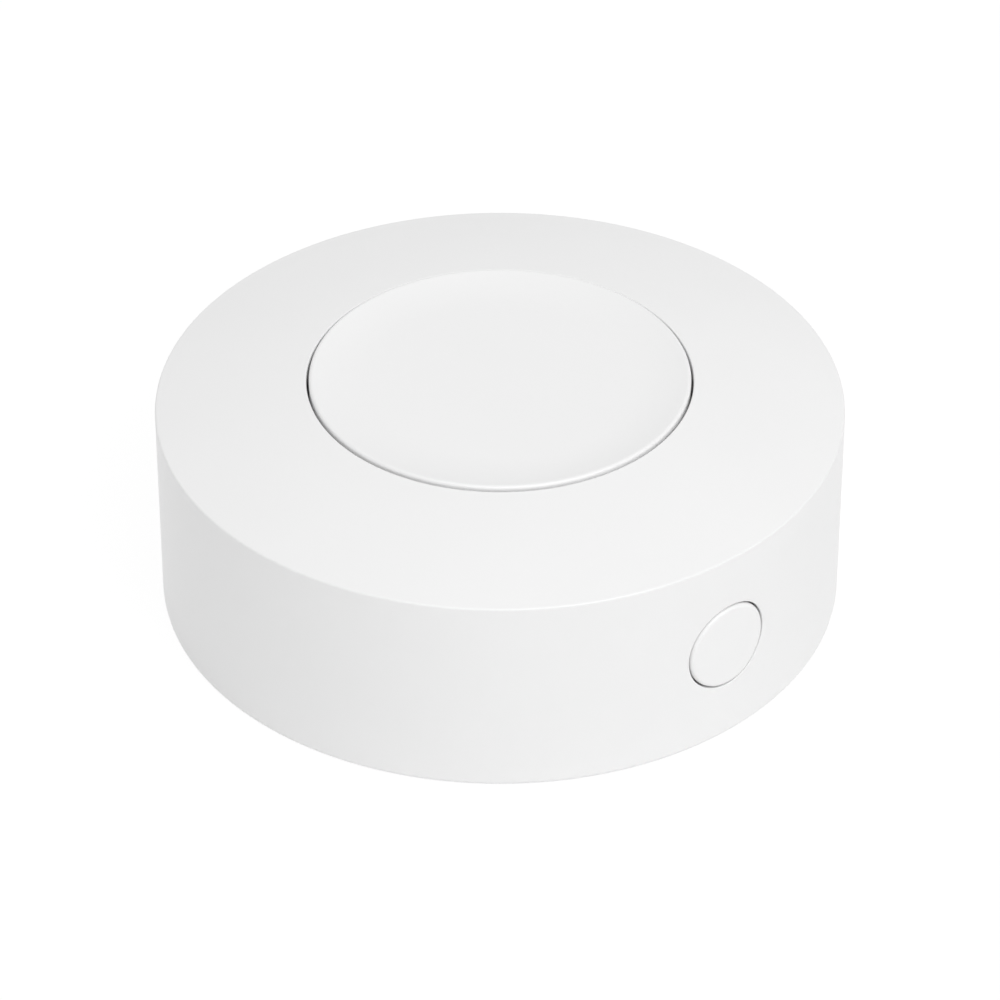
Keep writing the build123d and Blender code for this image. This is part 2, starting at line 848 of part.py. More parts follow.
def radio_shield():
    """Pressed metal can over the radio chip, open below."""
    width = module_width - 2 * shield_margin
    can = box_on(width, shield_length, shield_height)
    can = chamfer(can.edges().filter_by(Axis.Z) + can.edges().group_by(Axis.Z)[-1], shield_chamfer)
    inside = box_on(width - 2 * shield_sheet, shield_length - 2 * shield_sheet, shield_height)
    can -= Pos(0, 0, -shield_sheet) * inside
    y = module_shift + shield_margin + (shield_length - module_length) / 2
    return on_board(module_x, y, Pos(0, 0, module_thickness) * can)


def radio_antenna():
    """Ceramic antenna at the free end of the radio module."""
    y = module_shift + (module_length - antenna_length) / 2 - shield_margin
    block = box_on(antenna_width, antenna_length, antenna_height, module_thickness)
    return on_board(module_x, y, block)


def crystal():
    """Quartz crystal in a ceramic base with a metal lid."""
    base = box_on(crystal_width, crystal_length, crystal_height)
    lid_width = crystal_width - 2 * crystal_lid_margin
    lid_length = crystal_length - 2 * crystal_lid_margin
    lid = box_on(lid_width, lid_length, crystal_lid_height, crystal_height)
    return on_board(column_x, crystal_y, base + lid)


def voltage_regulator():
    """Small regulator: its moulded block, two legs on one side and one on the other."""
    block = box_on(regulator_width, regulator_length, regulator_height - sheet, sheet)
    leg = bent_leg(
        regulator_width / 2,
        regulator_leg_height,
        sheet / 2,
        regulator_leg_width,
        regulator_knee,
        regulator_foot,
    )
    block += mirror(leg, Plane.YZ)
    for side in (-1, 1):
        block += Pos(0, side * regulator_leg_pitch, 0) * leg
    return on_board(column_x, regulator_y, block)


def status_led():
    """Light-emitting diode whose light shows through the white plastic."""
    base = box_on(led_width, led_length, led_base_height)
    return on_board(0, led_y, base + rod_on(led_lens_diameter, led_lens_height, led_base_height))


def chip_column(count, x, length, width, height):
    """Column of like chip parts on the board."""
    chip = box_on(length, width, height)
    chip = chamfer(chip.edges().filter_by(Axis.Y), chip_edge_chamfer)
    return Compound([on_board(x, chip_pitch * (i - (count - 1) / 2), chip) for i in range(count)])


def chip_capacitors():
    """Column of ceramic capacitors."""
    return chip_column(
        capacitor_count, capacitor_x, capacitor_length, capacitor_width, capacitor_height
    )


def chip_resistors():
    """Column of chip resistors."""
    return chip_column(resistor_count, resistor_x, resistor_length, resistor_width, resistor_height)


nodes = {
    "housing": housing,
    "main_button": main_button,
    "side_button": side_button,
    "base_cover": base_cover,
    "circuit_board": circuit_board,
    "board_screws": board_screws,
    "main_switch_body": main_switch_body,
    "main_switch_cover": main_switch_plate,
    "main_switch_stem": main_switch_stem,
    "main_switch_dome": main_switch_dome,
    "main_switch_terminals": main_switch_terminals,
    "side_switch_body": side_switch_body,
    "side_switch_cover": side_switch_plate,
    "side_switch_stem": side_switch_stem,
    "side_switch_dome": side_switch_dome,
    "side_switch_terminals": side_switch_terminals,
    "battery_can": battery_can,
    "battery_gasket": battery_gasket,
    "battery_cap": battery_cap,
    "battery_holder": battery_holder,
    "positive_contact": positive_contact,
    "negative_contact": negative_contact,
    "radio_module_board": radio_module_board,
    "radio_shield": radio_shield,
    "radio_antenna": radio_antenna,
    "crystal": crystal,
    "voltage_regulator": voltage_regulator,
    "status_led": status_led,
    "chip_capacitors": chip_capacitors,
    "chip_resistors": chip_resistors,
}

os.makedirs("parts", exist_ok=True)
for name, make in nodes.items():
    export_step(make(), "parts/" + name + ".step")
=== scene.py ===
import math

import bmesh
import bpy
import numpy as np
from bpy.props import FloatProperty, FloatVectorProperty, PointerProperty
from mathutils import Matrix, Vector


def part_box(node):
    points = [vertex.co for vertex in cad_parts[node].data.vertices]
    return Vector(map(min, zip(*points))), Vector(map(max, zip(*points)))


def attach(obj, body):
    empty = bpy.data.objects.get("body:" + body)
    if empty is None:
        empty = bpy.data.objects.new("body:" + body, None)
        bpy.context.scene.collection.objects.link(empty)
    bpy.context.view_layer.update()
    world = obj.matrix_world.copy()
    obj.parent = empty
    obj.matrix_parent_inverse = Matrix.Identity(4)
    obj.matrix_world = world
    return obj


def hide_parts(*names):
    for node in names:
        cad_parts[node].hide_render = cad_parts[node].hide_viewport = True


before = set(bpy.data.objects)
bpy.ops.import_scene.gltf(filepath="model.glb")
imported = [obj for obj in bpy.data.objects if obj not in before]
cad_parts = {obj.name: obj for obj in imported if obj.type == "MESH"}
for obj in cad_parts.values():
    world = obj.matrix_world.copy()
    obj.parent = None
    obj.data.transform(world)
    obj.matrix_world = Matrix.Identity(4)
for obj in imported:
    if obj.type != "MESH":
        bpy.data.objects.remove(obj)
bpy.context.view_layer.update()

bl_info = {
    "name": "Smart button",
    "version": (1, 0, 0),
    "blender": (4, 5, 0),
    "location": "View3D > Sidebar > Smart button",
    "description": "White moulded puck with a dished key, a small side key and a twist-off base",
    "category": "Add Mesh",
}

# Everything is in metres in the part's own frame: Z is up, the puck's axis is the Z axis, it stands
# on Z = 0 and the small key faces -Y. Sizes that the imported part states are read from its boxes.
mm = 0.001


def low(node):
    """Lowest corner of a node's box."""
    return np.array(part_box(node)[0])


def high(node):
    """Highest corner of a node's box."""
    return np.array(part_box(node)[1])


# Puck
body_radius = high("housing")[0]
wall = 1.6 * mm
inner_radius = body_radius - wall
dome_radius = 96.5 * mm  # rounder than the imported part, so the shoulder is 0.08 mm lower
opening_radius = 12.6 * mm
key_rim = low("main_button")[2] + 3.5 * mm  # before its edge is rounded
opening_edge = key_rim - 0.25 * mm
dome_centre = opening_edge - math.sqrt(dome_radius**2 - opening_radius**2)
collar_radius = opening_radius + 1.0 * mm
collar_bottom = opening_edge - 2.4 * mm

# Main key
key_gap = 0.15 * mm
key_radius = opening_radius - key_gap
key_face = key_rim - 0.45 * mm
key_flat_radius = 8.7 * mm
key_skirt_radius = key_radius - 1.1 * mm
key_flange_radius = high("main_button")[0]
key_flange_bottom = low("main_button")[2]
key_flange_top = key_flange_bottom + 0.8 * mm
key_underside = key_face - 1.4 * mm
key_boss_radius = 2.5 * mm
key_boss_bottom = key_underside - 0.6 * mm

# Side key, with its depths measured from the Z axis
side_height = (low("side_button")[2] + high("side_button")[2]) / 2
side_key_radius = 3.0 * mm
side_hole_radius = side_key_radius + 0.12 * mm
side_key_face = -low("side_button")[1]
side_pad_radius = 4.8 * mm
side_pad_face = inner_radius - 0.5 * mm
side_flange_face = side_pad_face - 0.05 * mm
side_flange_back = side_flange_face - 0.7 * mm
side_flange_half = (high("side_button") - low("side_button")) / 2
side_flange_corner = 1.2 * mm
side_pin_radius = 1.2 * mm
side_pin_end = -high("side_button")[1]

# Base cover
cover_radius = 20.7 * mm
cover_face = low("base_cover")[2]
cover_top = cover_face + 1.3 * mm
cover_ring_radius = 19.7 * mm
cover_ring_bore = cover_ring_radius - 1.0 * mm
cover_seat_radius = 8.5 * mm
cover_seat_top = cover_top + 0.25 * mm
cover_rib_start = 14.15 * mm
lug_half = 11  # degrees
lug_top = high("base_cover")[2]
lug_bottom = lug_top - 0.8 * mm
slot_half_length = 7.5 * mm
slot_half_width = 1.0 * mm
slot_floor = cover_face + 0.7 * mm

# What stands on the housing's inside
boss_circle = 17.6 * mm
boss_radius = 1.8 * mm
pilot_radius = 0.87 * mm
boss_bottom = 9.3 * mm
pilot_top = 12.8 * mm
ledge_radius = 19.9 * mm
ledge_bottom = 1.7 * mm
ledge_top = 2.5 * mm
boss_angles = (90, 210, 330)
peg_angles = (30, 150, 270)
peg_size = 1.2 * mm  # width of a peg, and how far it hangs below the collar

# Shared by several pieces
rib_width = 0.8 * mm
hair = 0.01 * mm  # less than any real gap
turn_steps = 360  # columns of a turned piece, one a degree, so that lugs and notches end on one


def dome_height(radius):
    """Height of the domed top at a distance r from the axis: centre + sqrt(R^2 - r^2)."""
    return dome_centre + np.sqrt(dome_radius**2 - np.square(radius))


def bend(before, corner, after, radius, steps=4):
    """Rounded corner between two straight runs.

    The arc touches both runs at radius / tan(half the corner's angle). Its points are the weighted
    sum of its two end radii, sin((1 - t) a) and sin(t a) over sin(a). One point a third of the
    radius out on each run keeps the run flat in smooth shading.
    """
    corner = np.asarray(corner, float)
    first = np.asarray(before, float) - corner
    last = np.asarray(after, float) - corner
    first /= np.linalg.norm(first)
    last /= np.linalg.norm(last)
    half = math.acos(np.clip(first @ last, -1, 1)) / 2
    middle = first + last
    centre = corner + middle / np.linalg.norm(middle) * radius / math.sin(half)
    start = corner + first * radius / math.tan(half)
    end = corner + last * radius / math.tan(half)
    angle = math.pi - 2 * half
    t = np.linspace(0, 1, steps + 1)[:, None]
    arc = np.sin((1 - t) * angle) * (start - centre) + np.sin(t * angle) * (end - centre)
    arc /= math.sin(angle)
    support = radius / 3
    return np.vstack([start + first * support, centre + arc, end + last * support])


def outline(points, closed=False):
    """Profile through points of (radius, height, rounding), where 0 is a plain point."""
    flat = [point[:2] for point in points]
    rows = []
    for i, (x, y, rounding) in enumerate(points):
        inside = closed or 0 < i < len(points) - 1
        if rounding and inside:
            rows.append(bend(flat[i - 1], (x, y), flat[(i + 1) % len(points)], rounding))
        else:
            rows.append(np.array([[x, y]]))
    return np.vstack(rows)


def even_turn(steps=turn_steps):
    """Angles of evenly spaced columns over a full turn."""
    return np.arange(steps) * 2 * math.pi / steps


def degrees_from(places):
    """Degrees from each column of a full turn to the nearest of some places."""
    columns = np.arange(turn_steps)
    return np.min([np.abs((columns - place + 180) % 360 - 180) for place in places], axis=0)


def turned(profile, angles):
    """Rings of a turned surface: a profile row (r, z) gives (r cos a, r sin a, z) at each angle."""
    radius = profile[:, :1]
    height = np.repeat(profile[:, 1:2], len(angles), axis=1)
    return np.stack([radius * np.cos(angles), radius * np.sin(angles), height], axis=-1)


def prism(edge, bottom, top):
    """Rings of an upright block: its edge at both heights, and its middle at both for the caps."""
    middle = np.repeat(edge.mean(axis=0, keepdims=True), len(edge), axis=0)
    rows = [(middle, bottom), (edge, bottom), (edge, top), (middle, top)]
    return np.stack([np.column_stack([line, np.full(len(edge), height)]) for line, height in rows])


def spun(points, degrees):
    """Points turned about the Z axis by an angle: x cos a - y sin a and x sin a + y cos a."""
    angle = math.radians(degrees)
    c, s = math.cos(angle), math.sin(angle)
    return points @ np.array([[c, s, 0], [-s, c, 0], [0, 0, 1]])


def rectangle(x_low, x_high, width):
    """Four corners of a rectangle that lies along X and is centred on it."""
    half = width / 2
    return np.array([[x_low, -half], [x_high, -half], [x_high, half], [x_low, half]])


def arc_block(inner, outer, bottom, degrees, tops):
    """Rings of a curved block: its section's four corners at each angle, and its ends closed.

    A corner is (r cos a, r sin a, z) with r the inner or outer radius and z the bottom or the top
    at that angle.
    """
    angles = np.radians(np.concatenate([degrees[:1], degrees, degrees[-1:]]))[:, None]
    tops = np.concatenate([tops[:1], tops, tops[-1:]])[:, None]
    radius = np.repeat([[inner, outer, outer, inner]], len(angles), axis=0)
    height = bottom + np.array([0, 0, 1, 1]) * (tops - bottom)
    ends = [0, -1]
    radius[ends] = radius[ends].mean(axis=1, keepdims=True)
    height[ends] = height[ends].mean(axis=1, keepdims=True)
    return np.stack([radius * np.cos(angles), radius * np.sin(angles), height], axis=-1)


def sheet_faces(rows, columns, wrap_rows, keep=None):
    """Four-cornered faces between neighbours in a grid whose columns close on themselves."""
    last = rows if wrap_rows else rows - 1
    i, j = np.meshgrid(np.arange(last), np.arange(columns), indexing="ij")
    here, below = i * columns, (i + 1) % rows * columns
    right = (j + 1) % columns
    faces = np.stack([here + j, here + right, below + right, below + j], axis=-1)
    return faces.reshape(-1, 4) if keep is None else faces[keep]


def piece_of(name, surfaces, sharp_degrees=50):
    """Mesh object of one or more grids of rings, each given as (rings, wrap_rows, faces to keep).

    The grids are joined where they touch and at their poles, their faces are turned outwards, and
    they are shaded smooth apart from edges sharper than the angle given.
    """
    points, faces, count = [], [], 0
    for rings, wrap_rows, keep in surfaces:
        rows, columns = rings.shape[:2]
        points.append(rings.reshape(-1, 3))
        faces.append(sheet_faces(rows, columns, wrap_rows, keep) + count)
        count += rows * columns
    mesh = bpy.data.meshes.new(name)
    mesh.from_pydata(np.vstack(points), [], np.vstack(faces))
    shape = bmesh.new()
    shape.from_mesh(mesh)
    bmesh.ops.remove_doubles(shape, verts=shape.verts, dist=0.002 * mm)
    bmesh.ops.dissolve_degenerate(shape, edges=shape.edges, dist=0.001 * mm)
    spare = [vertex for vertex in shape.verts if not vertex.link_faces]
    bmesh.ops.delete(shape, geom=spare, context="VERTS")
    bmesh.ops.recalc_face_normals(shape, faces=shape.faces)
    shape.to_mesh(mesh)
    shape.free()
    mesh.shade_smooth()
    mesh.set_sharp_from_angle(angle=math.radians(sharp_degrees))
    piece = bpy.data.objects.new(name, mesh)
    bpy.context.scene.collection.objects.link(piece)
    return piece


def whole(rings):
    """A grid of rings with all of its faces kept."""
    return rings, False, None


# Materials


def linear(hex_colour):
    """Linear colour of an sRGB hex value."""
    value = np.array([int(hex_colour[i : i + 2], 16) for i in (0, 2, 4)]) / 255
    value = np.where(value <= 0.04045, value / 12.92, ((value + 0.055) / 1.055) ** 2.4)
    return (*value, 1.0)


def shaded(colour, share):
    """Colour made darker by a share."""
    return (*(share * c for c in colour[:3]), 1.0)


def add(tree, kind, settings=None, links=None):
    """Adds a node, sets its sockets or its own properties by name, and links its inputs."""
    node = tree.nodes.new(kind)
    for key, value in (settings or {}).items():
        if isinstance(key, int) or key in node.inputs:
            node.inputs[key].default_value = value
        else:
            setattr(node, key, value)
    for key, socket in (links or {}).items():
        tree.links.new(socket, node.inputs[key])
    return node


def grain_of(tree, size, detail, place):
    """Noise whose pattern repeats about once in a size."""
    settings = {"Scale": 1 / size, "Detail": detail}
    return add(tree, "ShaderNodeTexNoise", settings, {"Vector": place}).outputs["Fac"]


def stretched(tree, place, scale, rotation=(0.0, 0.0, 0.0)):
    """Coordinates turned, and squeezed along an axis so that a pattern on them is drawn out."""
    settings = {"Rotation": rotation, "Scale": scale}
    return add(tree, "ShaderNodeMapping", settings, {"Vector": place}).outputs["Vector"]


def new_material(name, refraction=None):
    """Empty node material with its output and shader, and Object coordinates in metres."""
    material = bpy.data.materials.new(name)
    material.use_nodes = True
    tree = material.node_tree
    tree.nodes.clear()
    shader = add(tree, "ShaderNodeBsdfPrincipled")
    if refraction:
        shader.inputs["IOR"].default_value = refraction
    add(tree, "ShaderNodeOutputMaterial", None, {"Surface": shader.outputs["BSDF"]})
    coordinates = add(tree, "ShaderNodeTexCoord").outputs["Object"]
    return material, tree, shader, coordinates


def tint(tree, factor, dark, light):
    """Colour between two others by a factor."""
    mix = add(tree, "ShaderNodeMix", {"data_type": "RGBA"})
    mix.inputs[6].default_value = dark
    mix.inputs[7].default_value = light
    tree.links.new(factor, mix.inputs[0])
    return mix.outputs[2]


def span(tree, value, low_end, high_end):
    """Value from 0 to 1 spread between two ends."""
    settings = {"To Min": low_end, "To Max": high_end}
    return add(tree, "ShaderNodeMapRange", settings, {"Value": value}).outputs["Result"]


def surface(tree, shader, colour, sheen, height, depth):
    """Links a colour, a roughness and a bump of a given depth in metres to a shader."""
    bump = add(tree, "ShaderNodeBump", {"Distance": depth, "Strength": 1.0}, {"Height": height})
    tree.links.new(bump.outputs["Normal"], shader.inputs["Normal"])
    tree.links.new(colour, shader.inputs["Base Color"])
    if sheen:
        tree.links.new(sheen, shader.inputs["Roughness"])


def moulded_abs(name, colour, roughness, grit):
    """Injection-moulded ABS with a fine spark-eroded texture.

    The eye sees a soft, even white with a low sheen. The real grit is about 0.03 mm; it is drawn
    several times coarser so that it shows as the faint tooth that a close look gives. Slow
    differences in colour and sheen over some millimetres are what flow in the mould leaves. The
    colour is given as linear values.
    """
    material, tree, shader, place = new_material(name, 1.53)
    flow = grain_of(tree, 9 * mm, 2.0, place)
    tooth = grain_of(tree, grit, 3.0, place)
    worn = {0: span(tree, tooth, -0.05, 0.05), 1: span(tree, flow, -0.03, 0.03)}
    worn = add(tree, "ShaderNodeMath", {"operation": "ADD"}, worn).outputs[0]
    sheen = add(tree, "ShaderNodeMath", {"operation": "ADD", 1: roughness}, {0: worn})
    white = tint(tree, flow, shaded(colour, 0.972), shaded(colour, 1.0))
    surface(tree, shader, white, sheen.outputs[0], tooth, 0.004 * mm)
    return material


def glass_filled_nylon(name, colour, roughness):
    """Moulded glass-filled nylon: dark and satin, with short pale fibres just below the surface."""
    material, tree, shader, place = new_material(name, 1.53)
    along = stretched(tree, place, (1.0, 6.0, 1.0), (0.4, 0.2, 0.6))
    fibre = grain_of(tree, 0.6 * mm, 4.0, along)
    dark = linear(colour)
    lighter = (*(min(1.0, 1.9 * c + 0.01) for c in dark[:3]), 1.0)
    sheen = span(tree, fibre, roughness - 0.08, roughness + 0.08)
    streaks = tint(tree, span(tree, fibre, 0.0, 1.0), dark, lighter)
    surface(tree, shader, streaks, sheen, fibre, 0.004 * mm)
    return material


def metal(name, colour, roughness, grain, stretch):
    """Sheet or drawn metal with rolling or brushing marks, which draw its highlights out."""
    material, tree, shader, place = new_material(name)
    shader.inputs["Metallic"].default_value = 1.0
    mark = grain_of(tree, grain, 3.0, stretched(tree, place, (1.0, stretch, 1.0)))
    pale = linear(colour)
    sheen = span(tree, mark, roughness - 0.07, roughness + 0.07)
    surface(tree, shader, tint(tree, mark, shaded(pale, 0.8), pale), sheen, mark, 0.002 * mm)
    return material


def printed_tracks(tree, place):
    """1 on copper tracks, 1.2 mm apart, that run along X in some fields and along Y in others."""
    axes = add(tree, "ShaderNodeSeparateXYZ", None, {"Vector": place}).outputs
    settings = {"distance": "CHEBYCHEV", "Scale": 1 / (6 * mm)}
    fields = add(tree, "ShaderNodeTexVoronoi", settings, {"Vector": place}).outputs["Color"]
    lot = add(tree, "ShaderNodeSeparateColor", None, {"Color": fields}).outputs
    along_y = {"operation": "GREATER_THAN", 1: 0.5}
    along_y = add(tree, "ShaderNodeMath", along_y, {0: lot["Red"]}).outputs[0]
    across = add(tree, "ShaderNodeMix", None, {0: along_y, 2: axes["X"], 3: axes["Y"]}).outputs[0]
    half_pitch = {"operation": "PINGPONG", 1: 0.6 * mm}
    wave = add(tree, "ShaderNodeMath", half_pitch, {0: across}).outputs[0]
    edge = {"From Min": 0.18 * mm, "From Max": 0.24 * mm, "To Min": 1.0, "To Max": 0.0}
    line = add(tree, "ShaderNodeMapRange", edge, {"Value": wave}).outputs["Result"]
    routed = {"operation": "GREATER_THAN", 1: 0.35}
    routed = add(tree, "ShaderNodeMath", routed, {0: lot["Green"]}).outputs[0]
    both = add(tree, "ShaderNodeMath", {"operation": "MULTIPLY"}, {0: line, 1: routed})
    return both.outputs[0]


def solder_mask(name, colour, track_colour):
    """Circuit board laminate under green solder mask.

    Copper tracks about 0.4 mm wide show as paler lines that stand a little proud, and the mask
    itself is smooth and glossy.
    """
    material, tree, shader, place = new_material(name, 1.55)
    tracks = printed_tracks(tree, place)
    sheen = span(tree, grain_of(tree, 0.5 * mm, 2.0, place), 0.22, 0.34)
    green = tint(tree, tracks, linear(colour), linear(track_colour))
    surface(tree, shader, green, sheen, tracks, 0.03 * mm)
    return material


def fired_ceramic(name, colour, roughness):
    """Fired and tumbled ceramic: matt, finely grained, with small darker specks."""
    material, tree, shader, place = new_material(name, 1.6)
    grain = grain_of(tree, 0.15 * mm, 4.0, place)
    pale = linear(colour)
    sheen = span(tree, grain, roughness - 0.1, roughness + 0.1)
    surface(tree, shader, tint(tree, grain, shaded(pale, 0.75), pale), sheen, grain, 0.005 * mm)
    return material


def clear_resin(name, colour):
    """Cast epoxy of the diode: glossy, slightly milky and yellow with phosphor grains."""
    material, tree, shader, place = new_material(name, 1.54)
    shader.inputs["Roughness"].default_value = 0.12
    grain = grain_of(tree, 0.2 * mm, 2.0, place)
    pale = linear(colour)
    surface(tree, shader, tint(tree, grain, shaded(pale, 0.85), pale), None, grain, 0.002 * mm)
    return material


def finish(piece, material, body, slot, *nodes):
    """Gives a new piece its material and body, and hides the imported nodes that it stands for; its
    slot is not used.
    """
    piece.data.materials.append(material)
    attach(piece, body)
    if nodes:
        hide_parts(*nodes)


def dress(material, *nodes):
    """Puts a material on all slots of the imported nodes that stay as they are."""
    for name in nodes:
        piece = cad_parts[name]
        if not piece.data.materials:
            piece.data.materials.append(material)
        for i in range(len(piece.data.materials)):
            piece.data.materials[i] = material


class ShellSettings(bpy.types.PropertyGroup):
    """Edges and plastic of the outer housing."""

    shoulder_round: FloatProperty(
        name="Shoulder rounding",
        description="Radius of the edge between the side wall and the domed top",
        default=0.14 * mm,
        min=0.05 * mm,
        unit="LENGTH",
        subtype="DISTANCE",
    )
    mouth_round: FloatProperty(
        name="Mouth rounding",
        description="Radius of the edge of the opening for the main key",
        default=0.1 * mm,
        min=0.02 * mm,
        unit="LENGTH",
        subtype="DISTANCE",
    )
    hole_round: FloatProperty(
        name="Side hole rounding",
        description="Radius of the edge of the hole for the side key",
        default=0.07 * mm,
        min=0.02 * mm,
        unit="LENGTH",
        subtype="DISTANCE",
    )
    foot_round: FloatProperty(
        name="Foot rounding",
        description="Radius of the lower outer edge",
        default=0.3 * mm,
        min=0.02 * mm,
        unit="LENGTH",
        subtype="DISTANCE",
    )
    colour: FloatVectorProperty(
        name="Colour",
        description="Colour of the plastic of the housing and the base cover",
        default=linear("EDEDED")[:3],
        min=0.0,
        max=1.0,
        size=3,
        subtype="COLOR",
    )
    roughness: FloatProperty(
        name="Roughness",
        description="Roughness of the moulded surface",
        default=0.32,
        min=0.05,
        max=1.0,
        subtype="FACTOR",
    )


class KeySettings(bpy.types.PropertyGroup):
    """Edges and plastic of the two keys."""

    rim_round: FloatProperty(
        name="Rim rounding",
        description="Radius of the raised rim round the main key's dish",
        default=0.2 * mm,
        min=0.05 * mm,
        unit="LENGTH",
        subtype="DISTANCE",
    )
    side_round: FloatProperty(
        name="Side key rounding",
        description="Radius of the side key's edge",
        default=0.25 * mm,
        min=0.05 * mm,
        unit="LENGTH",
        subtype="DISTANCE",
    )
    colour: FloatVectorProperty(
        name="Colour",
        description="Colour of the plastic of both keys",
        default=linear("EEEEEE")[:3],
        min=0.0,
        max=1.0,
        size=3,
        subtype="COLOR",
    )
    roughness: FloatProperty(
        name="Roughness",
        description="Roughness of the moulded keys",
        default=0.34,
        min=0.05,
        max=1.0,
        subtype="FACTOR",
    )


class CoverSettings(bpy.types.PropertyGroup):
    """Edges of the base cover."""

    edge_round: FloatProperty(
        name="Edge rounding",
        description="Radius of the base cover's outer edge",
        default=0.25 * mm,
        min=0.05 * mm,
        unit="LENGTH",
        subtype="DISTANCE",
    )
    slot_round: FloatProperty(
        name="Slot rounding",
        description="Radius of the coin slot's edge",
        default=0.15 * mm,
        min=0.02 * mm,
        unit="LENGTH",
        subtype="DISTANCE",
    )


class StageSettings(bpy.types.PropertyGroup):
    """Camera, lamps and floor."""

    azimuth: FloatProperty(
        name="Camera azimuth",
        description="Angle of the camera round the object; 0 looks along +Y",
        default=math.radians(-40.0),
        unit="ROTATION",
        subtype="ANGLE",
    )
    elevation: FloatProperty(
        name="Camera elevation",
        description="Angle of the camera above the horizon",
        default=math.radians(36.23),
        unit="ROTATION",
        subtype="ANGLE",
    )
    distance: FloatProperty(
        name="Camera distance",
        description="From the camera to the point it looks at",
        default=0.3328,
        unit="LENGTH",
        subtype="DISTANCE",
    )
    lens: FloatProperty(
        name="Focal length",
        description="Focal length on a 36 mm sensor, in millimetres",
        default=180.9,
    )
    surround: FloatProperty(
        name="Surround",
        description="Strength of the even light from all sides",
        default=0.54,
        min=0.0,
    )
    main_power: FloatProperty(
        name="Main lamp",
        description="Power of the soft lamp at the front right",
        default=1.9,
        min=0.0,
        unit="POWER",
    )
    upper_power: FloatProperty(
        name="Upper lamp",
        description="Power of the wide lamp high up on the camera's side",
        default=3.15,
        min=0.0,
        unit="POWER",
    )
    rear_power: FloatProperty(
        name="Rear lamp",
        description="Power of the weak wide lamp behind the puck",
        default=0.34,
        min=0.0,
        unit="POWER",
    )
    shadow_share: FloatProperty(
        name="Shadow share",
        description="How much of the lit floor the camera sees below the white",
        default=0.1,
        min=0.0,
        max=1.0,
        subtype="FACTOR",
    )


class SMARTBUTTON_OT_housing(bpy.types.Operator):
    """Makes the housing's shell, with its rounded edges and the hole for the side key"""

    bl_idname = "smartbutton.housing"
    bl_label = "Housing"

    def execute(self, context):
        settings = context.scene.smartbutton_shell
        window_rows = 24
        window_half = 5.0 * mm
        levels = np.linspace(side_height - window_half, side_height + window_half, window_rows + 1)
        profile, firsts = shell_profile(settings, levels)
        window_columns = 26
        rings = turned(profile, shell_angles(window_columns // 2))
        keep = np.ones(rings.shape[:2], bool)
        for first in firsts:
            keep[first : first + window_rows, :window_columns] = False
        shell = (rings, True, keep)
        hole = side_hole(rings, firsts, window_rows, window_columns, settings.hole_round)
        piece = piece_of("housing_shell", [shell, whole(hole)])
        plastic = moulded_abs("moulded_white_abs", settings.colour, settings.roughness, 0.3 * mm)
        finish(piece, plastic, "housing", "housing_plastic", "housing")
        inside = piece_of("housing_inner_parts", housing_inside(), 30)
        finish(inside, plastic, "housing", "housing_plastic")
        return {"FINISHED"}


def shell_angles(half_window):
    """Angles of the shell's columns: one a degree at the side key's window, then every second."""
    window = np.arange(-half_window, half_window)
    rest = np.arange(half_window, 360 - half_window, 2)
    return np.radians(270.0 + np.concatenate([window, rest]))


def shell_profile(settings, levels):
    """Closed profile of the housing's wall, and where its outer and inner window rows start.

    It runs from the foot up the outer wall, over the dome's arc to the opening, down the collar,
    back along the ceiling and down the inner wall.
    """
    edge_round = 0.1 * mm
    arc = np.linspace(body_radius - 1.2 * mm, opening_radius + 0.8 * mm, 14)
    dome = [(r, z, 0) for r, z in zip(arc, dome_height(arc))]
    ceiling_out = dome_height(inner_radius) - wall
    ceiling_in = dome_height(collar_radius) - wall
    outer = [(body_radius, z, 0) for z in levels]
    inner = [(inner_radius, z, 0) for z in levels[::-1]]
    points = [(inner_radius, 0.0, edge_round), (body_radius, 0.0, settings.foot_round), *outer]
    points += [(body_radius, float(dome_height(body_radius)), settings.shoulder_round), *dome]
    points += [
        (opening_radius, opening_edge, settings.mouth_round),
        (opening_radius, collar_bottom, edge_round),
        (collar_radius, collar_bottom, edge_round),
        (collar_radius, ceiling_in, 1.5 * edge_round),
        (inner_radius, ceiling_out, 3 * edge_round),
        *inner,
    ]
    profile = outline(points, closed=True)
    first_outer = int(np.argmin(np.abs(profile - [body_radius, levels[0]]).sum(axis=1)))
    first_inner = int(np.argmin(np.abs(profile - [inner_radius, levels[-1]]).sum(axis=1)))
    return profile, (first_outer, first_inner)


def window_edge(rings, first, rows, columns):
    """Points round a window in a grid: along its first row, up its last column and back again."""
    block = rings[first : first + rows + 1, : columns + 1]
    return np.vstack([block[0, :-1], block[:-1, -1], block[-1, :0:-1], block[:0:-1, 0]])


